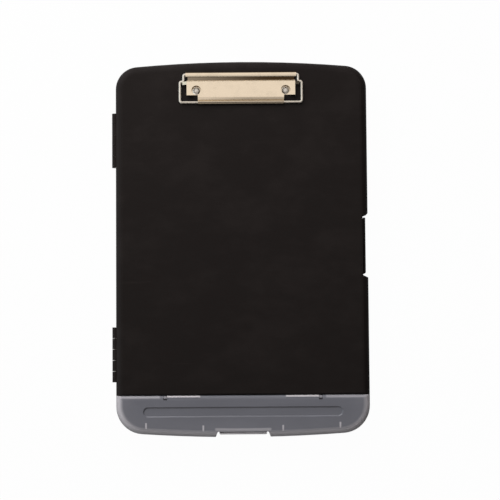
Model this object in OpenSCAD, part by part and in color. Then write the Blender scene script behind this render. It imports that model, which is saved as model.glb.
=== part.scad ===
// Storage clipboard box. A shallow tray holds paper under a hinged cover that carries a spring
// clip, and the foot of the tray is a pen box with its own lid. The box lies on its back:
// X is its width, Y its length with the clip at the top end, and Z is up.

/* [Case] */
// Width across the straight sides
case_w = 238.6; // [230:0.1:260]
// Length between the crowns of the two bowed ends
case_l = 356; // [335:0.1:390]
// Radius that the top end is bowed to
top_bow_r = 1150; // [700:10:2500]
// Radius that the foot end is bowed to
foot_bow_r = 1370; // [700:10:2500]
// Radius of the two top corners
top_corner_r = 21.5; // [12:0.5:32]
// Radius of the two foot corners
foot_corner_r = 26; // [14:0.5:32]
// Thickness of the upright walls
wall = 2.2; // [1.8:0.1:2.6]
// Gap between the tray's rim and what closes on it
rim_gap = 0.2; // [0.1:0.05:0.4]

/* [Tray] */
// Height of the parting line above the desk
tray_h = 17; // [16:0.5:24]
// Thickness of the tray's floor
floor_t = 2; // [1.6:0.1:2.2]
// Radius of the tray's lower edge
tray_edge = 4; // [2:0.5:6]
// Height that the tray's locating lip stands into the cover
lip_h = 1.5; // [1:0.1:2.5]
// Thickness of the locating lip
lip_t = 1.2; // [0.8:0.1:1.6]
// Gap between the locating lip and the cover's wall
lip_gap = 0.35; // [0.3:0.05:0.6]

/* [Cover and lid] */
// Height of the cover and the lid above the parting line
cover_h = 8; // [7.5:0.5:12]
// Thickness of the cover's panel
cover_t = 2.2; // [1.8:0.1:2.6]
// Thickness of the pen lid's panel
lid_t = 1.8; // [1.6:0.1:2.2]
// Width of the rolled edge round the cover and the lid
roll_w = 7; // [4:0.5:9]
// Height of that rolled edge
roll_h = 6; // [4:0.5:6.5]
// Width that the cover's foot edge is eased by
foot_ease = 1.5; // [1:0.1:2.5]
// Length of the pen box, from the crown of the foot to the cover
pen_box_l = 39.8; // [36:0.1:50]

/* [Cover hinges] */
// Distances from the crowns of the top and the foot to the middles of the two hinges
hinge_in = [74.7, 77.9]; // [70:0.1:100]
// Length of one hinge
hinge_l = 52; // [40:0.2:60]
// Number of knuckles in one hinge
knuckles = 5; // [3:2:7]
// Radius of a knuckle
knuckle_r = 3.2; // [2.9:0.1:3.6]
// Radius of the hinge pin
hinge_pin_r = 1.5; // [1:0.1:1.8]
// Distance that the hinge axis lies outside the wall
hinge_out = 0.5; // [0.4:0.1:1]
// Gap between neighbouring knuckles
knuckle_gap = 0.3; // [0.2:0.05:0.5]
// Gap round a knuckle in the part that it turns against
knuckle_room = 0.35; // [0.3:0.05:0.5]
// Radial running clearance of every pin
pin_fit = 0.05; // [0.02:0.01:0.09]

/* [Latches] */
// Distance of the side latch's middle above the middle of the case
side_latch_y = 1.6; // [-5:0.1:5]
// Length of the side latch
side_latch_l = 52.4; // [40:0.2:70]
// Length of the pen lid's latch
pen_latch_l = 44.8; // [36:0.2:60]
// Distance that the side latch's face lies behind the outline
side_latch_recess = 2.5; // [1.6:0.1:2.8]
// Distance that the pen latch's face lies behind the outline
pen_latch_recess = 2.7; // [1.6:0.1:2.8]
// Depth of a latch's inner face behind the outline
latch_back = 4.4; // [4.2:0.1:4.6]
// Depth of the pocket in the cover or the lid
pocket_d = 5.2; // [5.2:0.1:5.6]
// Clearance at each end of the side latch
side_latch_gap = 2.6; // [1.2:0.1:3]
// Clearance at each end of the pen latch
pen_latch_gap = 1.9; // [1.2:0.1:3]
// Width that the ends of a pocket flare by
pocket_flare = 1.2; // [0.5:0.1:2]
// Radius of a pocket's corners
pocket_round = 1.2; // [0.6:0.1:1.5]
// Radius of the outer corners of the side latch
side_latch_corner = 0.6; // [0.4:0.1:1.2]
// Radius of the outer corners of the pen latch
pen_latch_corner = 1.5; // [1:0.1:2.4]
// Depth of the latch pivots behind the outline
pivot_in = 6; // [5.8:0.1:6.4]
// Height of the latch pivots above the desk
pivot_up = 5; // [4.9:0.1:5.6]
// Radius of a latch's barrel
barrel_r = 2.3; // [2:0.1:2.5]
// Radius of the latch pins and the pen lid's pins
small_pin_r = 1; // [0.8:0.1:1.2]
// Distance that a latch's top edge lies below the cover's face
latch_drop = 1; // [0.6:0.1:1.6]
// Radius of the catch bead on a latch
bead_r = 0.55; // [0.4:0.05:0.55]
// Height of the catch bead above the parting line
bead_up = 3; // [2.5:0.1:3.5]

/* [Pen lid] */
// Radius of the lid's hinge barrels
lid_barrel_r = 2.2; // [2:0.1:2.3]
// Gap between the lid's hinge edge and the cover's foot
lid_gap = 0.4; // [0.3:0.05:0.8]
// Width that the lid's hinge edge is rounded over
lid_ease = 4.5; // [3:0.1:6]
// Distance from the middle of the lid to the middle of a hinge barrel
lid_barrel_x = 55.8; // [45:0.1:70]
// Length of one hinge barrel
lid_barrel_l = 31; // [20:0.5:36]
// Width of the tray's ear beside each barrel
ear_w = 2.8; // [2.4:0.1:5]
// Radius of an ear round its pin
ear_r = 1.8; // [1.7:0.05:2]
// Side clearance of an ear
ear_gap = 0.3; // [0.2:0.05:0.5]
// Length of a lid hinge pin
lid_pin_l = 20; // [14:0.5:26]
// Length of the long groove in the lid
groove_l = 187.8; // [120:0.2:200]
// Width of that groove
groove_w = 9.6; // [6:0.1:12]
// Depth of that groove
groove_d = 0.9; // [0.3:0.1:0.9]
// Width of the groove's sloping sides
groove_slope = 1.2; // [0.4:0.1:2]
// Distance from the crown of the foot to the middle of the groove
groove_in = 23.8; // [18:0.1:26]
// Distances of the lid's inner ribs from its middle
rib_x = [37.4, 91]; // [30:0.1:100]
// Length of a rib, from the outline
rib_l = 10.2; // [8:0.1:12]
// Thickness of a rib
rib_t = 1.6; // [1.2:0.1:2]

/* [Clip] */
// Distance from the crown of the top end to the clip's pivot
clip_in = 13.2; // [11:0.1:16]
// Width of the jaw
jaw_w = 102.8; // [84:0.2:128]
// Width that the base's rolled edge passes the jaw by at each side
base_over = 1.1; // [0.5:0.1:1.6]
// Width that the base plate stops short of its roll by at each side
plate_in = 2; // [1:0.1:6]
// Thickness of the base's sheet steel
base_t = 1.1; // [0.8:0.1:1.2]
// Thickness of the jaw's sheet steel
jaw_t = 0.8; // [0.7:0.05:0.95]
// Radius of the spring wire
wire_r = 1; // [0.9:0.05:1.1]
// Length of the base plate, forward of the pivot
base_l = 19.2; // [18:0.1:20]
// Width of the notch in each front corner of the jaw, beside its rolled lip
lip_in = 10.6; // [6:0.1:12]
// Distance from the pivot to the jaw's rear edge
jaw_rear = 6; // [4.8:0.1:6.5]
// Distance from the pivot to the step between the jaw and its lip
jaw_step = 20.3; // [19.2:0.1:21]
// Distance from the pivot to the bend in front of the jaw's flat
jaw_bend = 22.1; // [21.5:0.1:22.5]
// Distance from the pivot to the wire's front bar
jaw_reach = 26.6; // [26:0.1:30]
// Distance from the pivot to the front of the jaw's ears
ear_reach = 10.2; // [9:0.1:12]
// Height of the jaw's flat above the cover
jaw_up = 5.6; // [5.2:0.1:7]
// Distance from the jaw's sides to the wire's two legs
leg_out = 6.4; // [6.2:0.1:9]
// Distance from the jaw's sides to the necks where the wire turns to the base
neck_out = 3; // [2.6:0.1:3.2]
// Distance from the pivot to the wire's step
neck_l = 6.8; // [6.4:0.1:7.5]
// Inner bend radius of the wire, to its centre line
bend_r = 1.5; // [1.3:0.1:1.55]
// Radius of the wire's two front corners, to its centre line
front_bend_r = 2.1; // [1.8:0.1:5]
// Length of wire inside each end of the roll
wire_seat = 8; // [5:0.5:14]
// Distance from the jaw's sides to the two rivets
rivet_side = 9.1; // [6:0.1:12]
// Distance from the pivot to the rivets
rivet_in = 15.6; // [12.5:0.1:15.6]
// Radius of a rivet's head
rivet_head_r = 3.5; // [3:0.1:3.8]
// Height of a rivet's head
rivet_head_h = 1.3; // [1:0.1:1.6]
// Radius of a rivet's shank
rivet_r = 1.55; // [1.2:0.05:1.8]
// Radius of the jaw's holes over the rivets
rivet_window_r = 4.5; // [4.1:0.1:4.7]
// Radius of the washers inside the cover
washer_r = 4; // [3.5:0.1:5]
// Thickness of those washers
washer_t = 0.8; // [0.6:0.1:1]

/* [Hidden] */
$fn = 64;

past = 1; // how far a cut runs past the face that it opens
roll_steps = 6;
corner_steps = 10;
bow_steps = 10;

tray_top = tray_h - rim_gap / 2;
cover_foot = tray_h + rim_gap / 2;
cover_top = tray_h + cover_h;
crown_y = case_l / 2;
foot_y = pen_box_l - crown_y; // the cover's foot face, over the tray's partition
side_pocket_l = side_latch_l + 2 * side_latch_gap;
pen_pocket_l = pen_latch_l + 2 * pen_latch_gap;
pin_grip = 5; // how far a latch pin reaches into the tray at each end
bead_inset = 8; // how far the catch bead stops short of a latch's ends
bead_room = 0.15;
hinge_x = -case_w / 2 - hinge_out;
hinge_spots = [crown_y - hinge_in[0], hinge_in[1] - crown_y];
hinge_sweep = knuckle_r + knuckle_room; // radius that a knuckle's clearance is cut to
hinge_pad_d = hinge_sweep - hinge_out + wall;
knuckle_pitch = hinge_l / knuckles;
inner_roll = roll_w - wall / 2;
tray_inner_edge = tray_edge - floor_t / 2;
lip_root = 3;
barrel_room = 0.4;
barrel_inset = 0.1; // the lid's barrels lie this far inside its hinge edge
lid_axis_y = foot_y - lid_gap - lid_barrel_r;
lid_axis_z = cover_top - lid_barrel_r;
lid_edge_y = lid_axis_y + lid_barrel_r;
ear_x = lid_barrel_x + lid_barrel_l / 2 + ear_gap + ear_w / 2;
relief_x = ear_x + ear_w / 2 + ear_gap;
gusset_z = floor_t + 1; // where the ears' gussets meet the partition
rib_root = 3; // height that a rib stands up the lid's skirt
rib_nose = 3; // length of a rib's slanted end
rib_end_h = 1;
pivot_y = crown_y - clip_in;
base_w = jaw_w + 2 * base_over;
plate_w = base_w - 2 * plate_in;
lip_w = jaw_w - 2 * lip_in;
neck_x = jaw_w / 2 + neck_out;
leg_x = jaw_w / 2 + leg_out;
rivet_x = jaw_w / 2 - rivet_side;
roll_r = wire_r + pin_fit + base_t;
pivot_z = cover_top + roll_r;
jaw_lip_r = wire_r + pin_fit + jaw_t;
jaw_top = cover_top + jaw_up;
jaw_curl = 1.2; // how far the jaw's rear edge is curled down
wire_room = 0.15; // gap between the wire and the jaw's ears
slope_meets = [25, -20]; // angles on the lip's bead between which the jaw's slope joins it
hook_in = 1.2; // how far an ear's hook reaches inward from its tip
tip_over = 1; // how far an ear reaches past the wire's neck
tail_r = rivet_r + 0.9; // radius of a rivet's formed tail
tail_h = 1;

black = [0.13, 0.12, 0.12];
smoke = [0.45, 0.45, 0.48];
nickel = [0.86, 0.8, 0.72];
steel = [0.6, 0.6, 0.62];

// ---- Outline -------------------------------------------------------------------------------

function arc_points(centre, r, from, to, steps) =
    [for (i = [0:steps]) let (a = from + (to - from) * i / steps)
        [centre[0] + r * cos(a), centre[1] + r * sin(a)]];

// One bowed end at +Y, from its right corner to its left. Each corner is tangent to the
// straight side and to the bow, so an inset outline keeps the same centres.
function bowed_end(inset, bow_r, corner_r) =
    let (corner_x = case_w / 2 - corner_r)
    let (bow_y = crown_y - bow_r)
    let (corner_y = bow_y + sqrt(pow(bow_r - corner_r, 2) - pow(corner_x, 2)))
    let (meet = atan2(corner_y - bow_y, corner_x))
    let (bow = arc_points([0, bow_y], bow_r - inset, meet, 180 - meet, bow_steps))
    concat(
        arc_points([corner_x, corner_y], corner_r - inset, 0, meet, corner_steps),
        [for (i = [1:bow_steps - 1]) bow[i]],
        arc_points([-corner_x, corner_y], corner_r - inset, 180 - meet, 180, corner_steps)
    );

function case_outline(inset) = concat(
    bowed_end(inset, top_bow_r, top_corner_r),
    [for (p = bowed_end(inset, foot_bow_r, foot_corner_r)) -p]
);

// How far the bowed foot has drawn back at a distance x from the middle
function foot_sag(x) = foot_bow_r - sqrt(pow(foot_bow_r, 2) - pow(x, 2));

// The inset and the height of each step round an edge that rolls inward by w over h
function edge_steps(inset, z, w, h) =
    [for (i = [0:roll_steps]) let (turn = 90 * i / roll_steps)
        [inset + w * (1 - cos(turn)), z - h * (1 - sin(turn))]];

// A solid through rings that are stacked upward; each is an outline and its height
module lofted(rings) {
    n = len(rings[0][0]);
    top = (len(rings) - 1) * n;
    polyhedron(
        points = [for (ring = rings, p = ring[0]) [p[0], p[1], ring[1]]],
        faces = concat(
            [[for (i = [0:n - 1]) i]],
            [for (k = [0:n:top - n], i = [0:n - 1]) let (j = (i + 1) % n)
                [k + i, k + n + i, k + n + j, k + j]],
            [[for (i = [n - 1:-1:0]) top + i]]
        )
    );
}

// The same through outlines of the case; each step is an inset and a height
module stacked(steps) {
    lofted([for (step = steps) [case_outline(step[0]), step[1]]]);
}

// A form with upright sides whose top edge rolls inward
module rolled_form(inset, z_from, z_to, w, h) {
    stacked(concat([[inset, z_from]], edge_steps(inset, z_to, w, h)));
}

// A form with upright sides whose lower edge is rounded, for the tray
module dished_form(inset, z_from, z_to, r) {
    round_edge = edge_steps(inset, z_from, r, -r);
    stacked(concat([for (i = [roll_steps:-1:0]) round_edge[i]], [[inset, z_to]]));
}

// Keeps what lies between two distances along the case
module between(y_from, y_to) {
    intersection() {
        children();
        translate([-case_w, y_from, -case_w]) cube([2 * case_w, y_to - y_from, 2 * case_w]);
    }
}

module along_x(length) {
    rotate([90, 0, 90]) linear_extrude(length, center = true) children();
}

module rod_x(r, length) {
    rotate([0, 90, 0]) cylinder(r = r, h = length, center = true);
}

module rod_y(r, length) {
    rotate([90, 0, 0]) cylinder(r = r, h = length, center = true);
}

// ---- Cover hinges --------------------------------------------------------------------------

// Knuckles of both hinges: the tray has the even ones and the cover the odd ones
module each_knuckle(first) {
    for (y = hinge_spots, i = [first:2:knuckles - 1])
        translate([hinge_x, y + (i - (knuckles - 1) / 2) * knuckle_pitch, tray_h]) children();
}

module knuckle_set(first) {
    each_knuckle(first) rod_y(knuckle_r, knuckle_pitch - knuckle_gap);
}

module knuckle_clearance(first) {
    each_knuckle(first) rod_y(hinge_sweep, knuckle_pitch + knuckle_gap);
}

// Thickens the wall inward where the knuckle clearance would cut through it
module hinge_pads(z_from, z_to) {
    for (y = hinge_spots)
        translate([-case_w / 2, y - hinge_l / 2 - wall, z_from])
            cube([hinge_pad_d, hinge_l + 2 * wall, z_to - z_from]);
}

module hinge_bores() {
    for (y = hinge_spots)
        translate([hinge_x, y, tray_h]) rod_y(hinge_pin_r + pin_fit, hinge_l + past);
}

module hinge_pin(y) {
    translate([hinge_x, y, tray_h]) rod_y(hinge_pin_r, hinge_l - knuckle_gap);
}

module hinge_pin_upper() {
    color(steel) hinge_pin(hinge_spots[0]);
}

module hinge_pin_lower() {
    color(steel) hinge_pin(hinge_spots[1]);
}

// ---- Latches -------------------------------------------------------------------------------
// A latch is drawn with its length along X and the way into the case along +Y.

module at_side() {
    translate([case_w / 2, side_latch_y, 0]) rotate(90) children();
}

module at_foot() {
    translate([0, -crown_y, 0]) children();
}

// A pocket with rounded corners whose ends flare toward the outline
module pocket_plan(pocket_l, depth) {
    half = pocket_l / 2;
    mouth = half + pocket_flare + pocket_round;
    end = concat(
        [[mouth, -past]],
        arc_points([mouth, pocket_round], pocket_round, 270, 180, 6),
        arc_points([half - pocket_round, depth - pocket_round], pocket_round, 0, 90, 6)
    );
    polygon(concat(end, [for (i = [len(end) - 1:-1:0]) [-end[i][0], end[i][1]]]));
}

// The space that a latch needs in the tray, right through its floor
module tray_pocket(pocket_l) {
    translate([0, 0, -past]) linear_extrude(tray_h + lip_h + 2 * past)
        pocket_plan(pocket_l, pivot_in + barrel_room);
    translate([0, pivot_in, pivot_up]) rod_x(barrel_r + barrel_room, pocket_l);
}

// The wall that closes the tray behind a latch and holds the ends of its pin
module tray_pocket_wall(pocket_l) {
    upper = pivot_in + barrel_room + wall;
    lower = pivot_in + barrel_r + barrel_room + wall;
    shoulder = pivot_up + barrel_r + 1;
    along_x(pocket_l + 2 * (pin_grip + wall))
        polygon([
            [0, 0], [lower, 0], [lower, shoulder], [upper, shoulder + wall],
            [upper, tray_h + past], [0, tray_h + past]
        ]);
}

// The pocket in the cover or the lid, with the groove that the catch bead springs into
module cover_pocket(pocket_l, latch_l) {
    translate([0, 0, tray_h - past]) linear_extrude(cover_h + 2 * past)
        pocket_plan(pocket_l, pocket_d);
    translate([0, pocket_d, tray_h + bead_up])
        rod_x(bead_r + bead_room, latch_l - 2 * bead_inset + past);
}

module cover_pocket_wall(pocket_l) {
    along_x(pocket_l + 2 * (pocket_flare + wall))
        translate([0, tray_h - past]) square([pocket_d + wall, cover_h + 2 * past]);
}

module latch_section(recess) {
    top = cover_top - latch_drop;
    round_r = latch_back - recess;
    polygon(concat(
        [[recess, pivot_up], [latch_back, pivot_up], [pivot_in, pivot_up + barrel_r]],
        [[latch_back, pivot_up + 2 * barrel_r]],
        arc_points([latch_back, top - round_r], round_r, 90, 180, 8)
    ));
    translate([pivot_in, pivot_up]) circle(barrel_r);
}

module latch_plan(latch_l, recess, corner) {
    half = latch_l / 2;
    back = pivot_in + barrel_r + past;
    polygon(concat(
        [[half, back], [-half, back]],
        arc_points([-half + corner, recess + corner], corner, 180, 270, 8),
        arc_points([half - corner, recess + corner], corner, 270, 360, 8)
    ));
}

module latch(latch_l, recess, corner) {
    difference() {
        union() {
            intersection() {
                along_x(latch_l + past) latch_section(recess);
                linear_extrude(cover_top) latch_plan(latch_l, recess, corner);
            }
            translate([0, latch_back, tray_h + bead_up]) rod_x(bead_r, latch_l - 2 * bead_inset);
        }
        translate([0, pivot_in, pivot_up]) rod_x(small_pin_r + pin_fit, latch_l + past);
    }
}

module latch_pin(pocket_l, spare = 0) {
    translate([0, pivot_in, pivot_up])
        rod_x(small_pin_r + spare, pocket_l + 2 * (pin_grip + spare));
}

module side_latch() {
    color(black) at_side() latch(side_latch_l, side_latch_recess, side_latch_corner);
}

module side_latch_pin() {
    color(steel) at_side() latch_pin(side_pocket_l);
}

module pen_latch() {
    color(smoke) at_foot() latch(pen_latch_l, pen_latch_recess, pen_latch_corner);
}

module pen_latch_pin() {
    color(steel) at_foot() latch_pin(pen_pocket_l);
}

// ---- Tray ----------------------------------------------------------------------------------

module locating_lip() {
    intersection() {
        translate([0, 0, tray_top - lip_root]) linear_extrude(lip_root + lip_h)
            difference() {
                polygon(case_outline(wall + lip_gap));
                polygon(case_outline(wall + lip_gap + lip_t));
            }
        translate([-case_w, foot_y + wall + lip_gap, 0]) cube([2 * case_w, case_l, cover_top]);
    }
    intersection() {
        translate([0, 0, tray_top - lip_root]) linear_extrude(lip_root)
            difference() {
                polygon(case_outline(wall / 2));
                polygon(case_outline(wall + lip_gap + lip_t));
            }
        translate([-case_w, foot_y + wall + lip_gap, 0]) cube([2 * case_w, case_l, cover_top]);
    }
}

// Where the lip stops, beside the pocket and the pads in the cover
module lip_breaks() {
    latch_break = side_pocket_l + 2 * (pocket_flare + wall + lip_gap);
    hinge_break = hinge_l + 2 * (wall + lip_gap);
    at_side() translate([-latch_break / 2, 0, tray_top])
        cube([latch_break, pocket_d + wall + lip_gap, lip_h + past]);
    for (y = hinge_spots)
        translate([-case_w / 2, y - hinge_break / 2, tray_top])
            cube([hinge_pad_d + lip_gap, hinge_break, lip_h + past]);
}

// The ears that carry the pen lid, standing on the pen side of the partition
module lid_ears() {
    for (side = [-1, 1])
        translate([side * ear_x, 0, 0]) along_x(ear_w) {
            front = lid_axis_y - ear_r;
            translate([lid_axis_y, lid_axis_z]) circle(ear_r);
            polygon([
                [front, lid_axis_z], [front, gusset_z + foot_y - front],
                [foot_y + wall / 2, gusset_z], [foot_y + wall / 2, tray_top],
                [lid_axis_y + ear_r, tray_top], [lid_axis_y + ear_r, lid_axis_z]
            ]);
        }
}

module back_tray() {
    color(black) difference() {
        union() {
            difference() {
                dished_form(0, 0, tray_top, tray_edge);
                difference() {
                    dished_form(wall, floor_t, tray_top + past, tray_inner_edge);
                    translate([-case_w, foot_y, 0]) cube([2 * case_w, wall, case_w]);
                    hinge_pads(tray_h - hinge_sweep - wall, tray_h + past);
                    at_side() tray_pocket_wall(side_pocket_l);
                    at_foot() tray_pocket_wall(pen_pocket_l);
                }
            }
            difference() {
                locating_lip();
                lip_breaks();
            }
            knuckle_set(0);
            lid_ears();
        }
        knuckle_clearance(1);
        hinge_bores();
        at_side() tray_pocket(side_pocket_l);
        at_foot() tray_pocket(pen_pocket_l);
        at_side() latch_pin(side_pocket_l, pin_fit);
        at_foot() latch_pin(pen_pocket_l, pin_fit);
        for (side = [-1, 1])
            translate([side * ear_x, lid_axis_y, lid_axis_z])
                rod_x(small_pin_r + pin_fit, ear_w + past);
    }
}

// ---- Cover ---------------------------------------------------------------------------------

// What is taken off the cover's foot edge to ease it
module eased_foot() {
    reach = foot_ease + past;
    translate([0, foot_y + foot_ease, cover_top - foot_ease]) difference() {
        translate([-case_w, -reach, 0]) cube([2 * case_w, reach, reach]);
        rod_x(foot_ease, 3 * case_w);
    }
}

module front_cover() {
    color(black) difference() {
        union() {
            difference() {
                between(foot_y, case_l) rolled_form(0, cover_foot, cover_top, roll_w, roll_h);
                difference() {
                    between(foot_y + wall, case_l)
                        rolled_form(wall, cover_foot - past, cover_top - cover_t, inner_roll,
                            roll_h - cover_t / 2);
                    hinge_pads(tray_h - past, cover_top);
                    at_side() cover_pocket_wall(side_pocket_l);
                }
                eased_foot();
            }
            knuckle_set(1);
        }
        knuckle_clearance(0);
        hinge_bores();
        at_side() cover_pocket(side_pocket_l, side_latch_l);
        each_rivet() translate([0, 0, cover_top - cover_t - past])
            cylinder(r = rivet_r + pin_fit, h = cover_t + 2 * past);
    }
}

// ---- Pen lid -------------------------------------------------------------------------------

// The lid seen from its end: its heel turns about the hinge axis, and its top is rounded over
module lid_profile() {
    heel_r = lid_axis_z - cover_foot;
    heel_turn = acos(lid_barrel_r / heel_r);
    along_x(2 * case_w)
        polygon(concat(
            [[-case_l, cover_top], [-case_l, cover_foot]],
            arc_points([lid_axis_y, lid_axis_z], heel_r, 270, 360 - heel_turn, 4),
            [for (i = [0:8]) let (turn = 90 * i / 8)
                [lid_edge_y - lid_ease * (1 - cos(turn)), lid_axis_z + lid_barrel_r * sin(turn)]]
        ));
}

module lid_rib(x) {
    under = cover_top - lid_t;
    top = under + lid_t / 4;
    translate([x, foot_sag(x) - crown_y, 0]) along_x(rib_t)
        polygon([
            [wall / 2, cover_foot], [wall / 2, cover_foot + rib_root], [roll_w / 2, top],
            [rib_l, top], [rib_l, under - rib_end_h], [rib_l - rib_nose, cover_foot]
        ]);
}

function groove_outline(w) =
    let (reach = (groove_l - groove_w) / 2)
    concat(
        arc_points([reach, 0], w / 2, -90, 90, 12),
        arc_points([-reach, 0], w / 2, 90, 270, 12)
    );

// What is taken out for the long groove, whose sides slope all the way round
module groove() {
    spread = 2 * groove_slope * past / groove_d;
    translate([0, groove_in - crown_y, 0]) lofted([
        [groove_outline(groove_w - 2 * groove_slope), cover_top - groove_d],
        [groove_outline(groove_w + spread), cover_top + past]
    ]);
}

module pen_lid() {
    notch_w = ear_w + 2 * ear_gap;
    color(smoke, 0.6) difference() {
        union() {
            difference() {
                intersection() {
                    rolled_form(0, cover_foot, cover_top, roll_w, roll_h);
                    lid_profile();
                }
                difference() {
                    between(-case_l, lid_edge_y - wall)
                        rolled_form(wall, cover_foot - past, cover_top - lid_t, inner_roll,
                            roll_h - lid_t / 2);
                    at_foot() cover_pocket_wall(pen_pocket_l);
                }
                // The middle of the hinge edge has no skirt
                translate([-relief_x, lid_edge_y - wall - past, cover_foot - past])
                    cube([2 * relief_x, wall + 2 * past, cover_h - rim_gap / 2 - lid_t + past]);
            }
            for (side = [-1, 1])
                translate([side * lid_barrel_x, lid_axis_y, lid_axis_z])
                    rod_x(lid_barrel_r - barrel_inset, lid_barrel_l);
            for (x = rib_x, side = [-1, 1]) lid_rib(side * x);
        }
        for (side = [-1, 1]) {
            translate([side * ear_x - notch_w / 2, lid_axis_y - ear_r - barrel_room, cover_foot - past])
                cube([notch_w, case_l, 2 * cover_h]);
            translate([side * (relief_x - ear_gap - lid_pin_l / 2), lid_axis_y, lid_axis_z])
                rod_x(small_pin_r + pin_fit, lid_pin_l + past);
        }
        at_foot() cover_pocket(pen_pocket_l, pen_latch_l);
        groove();
    }
}

module lid_pin(side) {
    translate([side * (relief_x - ear_gap - lid_pin_l / 2), lid_axis_y, lid_axis_z])
        rod_x(small_pin_r, lid_pin_l);
}

module lid_pin_left() {
    color(steel) lid_pin(-1);
}

module lid_pin_right() {
    color(steel) lid_pin(1);
}

// ---- Clip ----------------------------------------------------------------------------------
// The clip is drawn from its pivot: the base's rear edge is rolled round the ends of the spring
// wire, and the wire carries the jaw at its front bar and at its two necks.

module each_rivet() {
    for (side = [-1, 1])
        translate([side * rivet_x, pivot_y - rivet_in, 0]) children();
}

module clip_base() {
    color(nickel) difference() {
        union() {
            translate([0, pivot_y, pivot_z]) rod_x(roll_r, base_w);
            translate([-base_w / 2, pivot_y - roll_r, cover_top])
                cube([base_w, roll_r, base_t]);
            translate([-plate_w / 2, pivot_y - base_l, cover_top])
                cube([plate_w, base_l, base_t]);
        }
        translate([0, pivot_y, pivot_z]) rod_x(wire_r + pin_fit, base_w + past);
        each_rivet() translate([0, 0, cover_top - past])
            cylinder(r = rivet_r + pin_fit, h = base_t + 2 * past);
    }
}

// The jaw from its end: rear curl, flat, slope and the lip that is rolled round the wire. The
// slope meets the lip at its rear side, so that the lip stands up as a bead.
module jaw_section() {
    under = jaw_top - jaw_t;
    axis = [-jaw_reach, pivot_z];
    meet = arc_points(axis, jaw_lip_r, slope_meets[0], slope_meets[1], 1);
    difference() {
        union() {
            polygon([
                [-jaw_rear, jaw_top - jaw_curl], [-jaw_rear - jaw_curl, jaw_top],
                [-jaw_bend, jaw_top], meet[0], meet[1], [-jaw_bend + jaw_t / 2, under],
                [-jaw_rear - jaw_curl - jaw_t / 2, under],
                [-jaw_rear - jaw_t, jaw_top - jaw_curl - jaw_t / 2]
            ]);
            translate(axis) circle(jaw_lip_r);
        }
        translate(axis) circle(wire_r + pin_fit);
    }
}

module jaw_plan() {
    polygon([
        [-jaw_w / 2, 0], [-jaw_w / 2, -jaw_step], [-lip_w / 2, -jaw_step],
        [-lip_w / 2, -jaw_reach - 2 * jaw_lip_r], [lip_w / 2, -jaw_reach - 2 * jaw_lip_r],
        [lip_w / 2, -jaw_step], [jaw_w / 2, -jaw_step], [jaw_w / 2, 0]
    ]);
}

// The strap at each rear corner of the jaw: it runs down over the wire's neck, its rear side is
// cut on the slant, and a hook under it sits in front of the wire's step.
module jaw_ear() {
    side = jaw_w / 2;
    strap_z = pivot_z + wire_r + wire_room;
    tip = neck_x + tip_over;
    hook_y = -neck_l - wire_r - 2 * wire_room;
    intersection() {
        rotate([90, 0, 0]) linear_extrude(ear_reach + past)
            polygon([
                [side - 1, jaw_top], [side, jaw_top], [tip, strap_z + jaw_t], [tip, strap_z],
                [side - jaw_t / 2, jaw_top - jaw_t], [side - 1, jaw_top - jaw_t]
            ]);
        linear_extrude(jaw_top + past)
            polygon([
                [side - 1, -ear_reach], [tip, -ear_reach], [tip, hook_y + wire_r],
                [side, -jaw_rear - jaw_curl], [side - 1, -jaw_rear - jaw_curl]
            ]);
    }
    translate([tip - hook_in, hook_y - jaw_t, pivot_z - wire_r])
        cube([hook_in, jaw_t, 2 * wire_r + 2 * wire_room + jaw_t / 2]);
}

module clip_jaw() {
    color(nickel) difference() {
        translate([0, pivot_y, 0]) {
            intersection() {
                along_x(jaw_w) jaw_section();
                linear_extrude(jaw_top + past) jaw_plan();
            }
            for (side = [0, 1]) mirror([side, 0, 0]) jaw_ear();
        }
        for (side = [-1, 1])
            translate([side * rivet_x, pivot_y - rivet_in, pivot_z])
                cylinder(r = rivet_window_r, h = 2 * jaw_up);
    }
}

// A quarter bend of the wire: it starts at the origin along +X and turns to +Y
module wire_bend(r) {
    translate([0, r, 0]) rotate([0, 0, -90]) rotate_extrude(angle = 90)
        translate([r, 0]) circle(wire_r);
}

module wire_along_x(from, to, y) {
    translate([(from + to) / 2, y, 0]) rod_x(wire_r, abs(to - from));
}

module wire_along_y(from, to, x) {
    translate([x, (from + to) / 2, 0]) rod_y(wire_r, abs(to - from));
}

// The right half: pin in the roll, neck, step out to the leg, leg, front corner, front bar
module wire_half() {
    wire_along_x(base_w / 2 - wire_seat, neck_x - bend_r, 0);
    translate([neck_x - bend_r, 0, 0]) mirror([0, 1, 0]) wire_bend(bend_r);
    wire_along_y(-bend_r, bend_r - neck_l, neck_x);
    translate([neck_x + bend_r, -neck_l, 0]) mirror([1, 0, 0]) wire_bend(bend_r);
    wire_along_x(neck_x + bend_r, leg_x - bend_r, -neck_l);
    translate([leg_x - bend_r, -neck_l, 0]) mirror([0, 1, 0]) wire_bend(bend_r);
    wire_along_y(-neck_l - bend_r, front_bend_r - jaw_reach, leg_x);
    translate([leg_x - front_bend_r, -jaw_reach, 0]) wire_bend(front_bend_r);
    wire_along_x(0, leg_x - front_bend_r, -jaw_reach);
}

module clip_wire() {
    color(nickel) translate([0, pivot_y, pivot_z])
        for (side = [0, 1]) mirror([side, 0, 0]) wire_half();
}

module clip_rivets() {
    tail_z = cover_top - cover_t - washer_t;
    color(steel) each_rivet() {
        translate([0, 0, tail_z]) cylinder(r = rivet_r, h = cover_t + washer_t + base_t);
        // The head is a low dome
        translate([0, 0, cover_top + base_t]) intersection() {
            dome_r = (pow(rivet_head_r, 2) + pow(rivet_head_h, 2)) / (2 * rivet_head_h);
            translate([0, 0, rivet_head_h - dome_r]) sphere(dome_r);
            cylinder(r = rivet_head_r + past, h = rivet_head_h + past);
        }
        translate([0, 0, tail_z - tail_h]) cylinder(r1 = tail_r - tail_h / 2, r2 = tail_r, h = tail_h);
    }
}

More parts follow.
